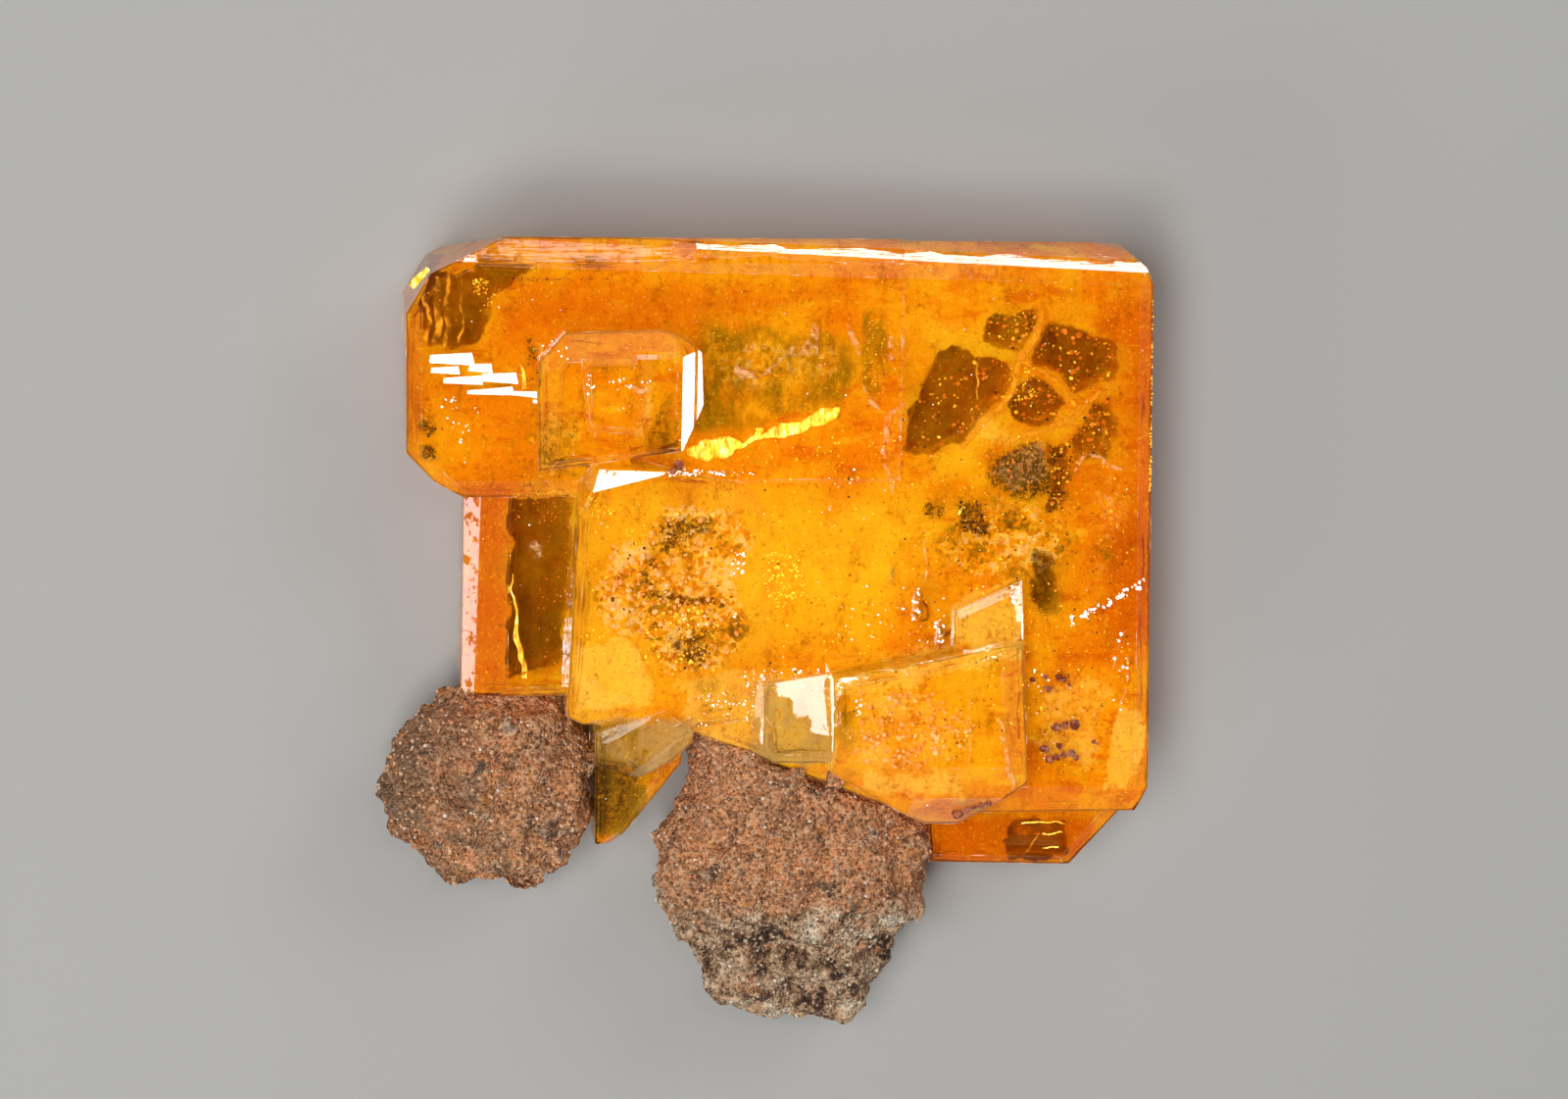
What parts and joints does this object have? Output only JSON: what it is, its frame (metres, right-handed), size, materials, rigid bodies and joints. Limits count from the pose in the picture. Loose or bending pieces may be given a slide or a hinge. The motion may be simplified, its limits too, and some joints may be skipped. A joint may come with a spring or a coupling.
{
  "type": "wulfenite crystal specimen",
  "caption": "Thick tabular orange wulfenite crystals grown together in parallel, with rough lumps of iron-stained sandy matrix along their lower edge; lies on its back.",
  "frame": {"origin": "under the middle of the specimen's box, on the plane of the crystals' back face, which it lies on", "axes": "+Z out of the big front face, which looks up; +Y across that face to the long upper edge; +X along that edge"},
  "size_m": [0.0312, 0.0332, 0.0074],
  "materials": {
    "wulfenite": "clear to cloudy orange crystal with a bright resinous lustre, finely striated at its edges",
    "matrix": "rough, sandy, reddish brown with grey, white and dark grains"
  },
  "bodies": {
    "root": {"wulfenite_crystals": "wulfenite", "matrix_lump_left": "matrix", "matrix_lump_centre": "matrix"}
  },
  "joints": []
}
